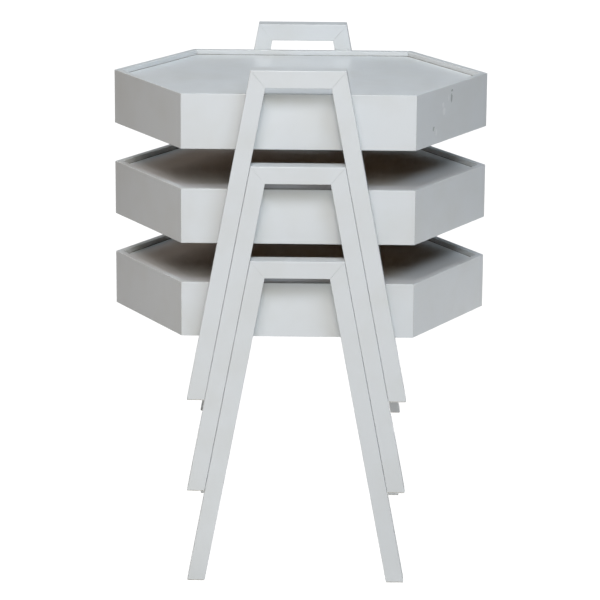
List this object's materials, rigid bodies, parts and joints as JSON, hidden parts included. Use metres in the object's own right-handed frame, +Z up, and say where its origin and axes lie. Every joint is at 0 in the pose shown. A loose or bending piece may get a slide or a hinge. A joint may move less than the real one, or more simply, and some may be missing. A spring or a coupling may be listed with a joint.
{
  "type": "nesting tables",
  "caption": "Stack of nesting tray tables: each has a six-sided tray with a raised rim between two splayed frames whose top bars are carrying handles, and each stands astride the one below.",
  "frame": {"origin": "on the floor, in the middle of the footprint", "axes": "+Z up; +X along the trays' long edges; the front frames are on the -Y side"},
  "size_m": [0.5794, 0.456, 0.7977],
  "materials": {
    "white_lacquer": "satin white lacquer",
    "softwood": "raw sawn softwood",
    "beech": "fluted beech, unfinished",
    "steel": "bright zinc-plated steel",
    "zinc_plate": "yellow zinc-plated steel",
    "white_nylon": "matt nylon"
  },
  "bodies": {
    "bottom_table": {"bottom_front_rail": "white_lacquer", "bottom_front_right_rail": "white_lacquer", "bottom_back_right_rail": "white_lacquer", "bottom_back_rail": "white_lacquer", "bottom_back_left_rail": "white_lacquer", "bottom_front_left_rail": "white_lacquer", "bottom_floor_panel": "white_lacquer", "bottom_corner_blocks": "softwood", "bottom_front_carrying_bar": "white_lacquer", "bottom_front_left_leg": "white_lacquer", "bottom_front_right_leg": "white_lacquer", "bottom_back_carrying_bar": "white_lacquer", "bottom_back_left_leg": "white_lacquer", "bottom_back_right_leg": "white_lacquer", "bottom_mitre_dowels": "beech", "bottom_frame_bolts": "steel", "bottom_bolt_washers": "steel", "bottom_threaded_inserts": "zinc_plate", "bottom_foot_pads": "white_nylon"},
    "middle_table": {"middle_front_rail": "white_lacquer", "middle_front_right_rail": "white_lacquer", "middle_back_right_rail": "white_lacquer", "middle_back_rail": "white_lacquer", "middle_back_left_rail": "white_lacquer", "middle_front_left_rail": "white_lacquer", "middle_floor_panel": "white_lacquer", "middle_corner_blocks": "softwood", "middle_front_carrying_bar": "white_lacquer", "middle_front_left_leg": "white_lacquer", "middle_front_right_leg": "white_lacquer", "middle_back_carrying_bar": "white_lacquer", "middle_back_left_leg": "white_lacquer", "middle_back_right_leg": "white_lacquer", "middle_mitre_dowels": "beech", "middle_frame_bolts": "steel", "middle_bolt_washers": "steel", "middle_threaded_inserts": "zinc_plate", "middle_foot_pads": "white_nylon"},
    "top_table": {"top_front_rail": "white_lacquer", "top_front_right_rail": "white_lacquer", "top_back_right_rail": "white_lacquer", "top_back_rail": "white_lacquer", "top_back_left_rail": "white_lacquer", "top_front_left_rail": "white_lacquer", "top_floor_panel": "white_lacquer", "top_corner_blocks": "softwood", "top_front_carrying_bar": "white_lacquer", "top_front_left_leg": "white_lacquer", "top_front_right_leg": "white_lacquer", "top_back_carrying_bar": "white_lacquer", "top_back_left_leg": "white_lacquer", "top_back_right_leg": "white_lacquer", "top_mitre_dowels": "beech", "top_frame_bolts": "steel", "top_bolt_washers": "steel", "top_threaded_inserts": "zinc_plate", "top_foot_pads": "white_nylon"}
  },
  "joints": [
    {"name": "middle_lift", "type": "slide", "parent": "bottom_table", "child": "middle_table", "axis": [0, 0, 1], "range_m": [0, 0.375]},
    {"name": "top_lift", "type": "slide", "parent": "middle_table", "child": "top_table", "axis": [0, 0, 1], "range_m": [0, 0.375]}
  ]
}
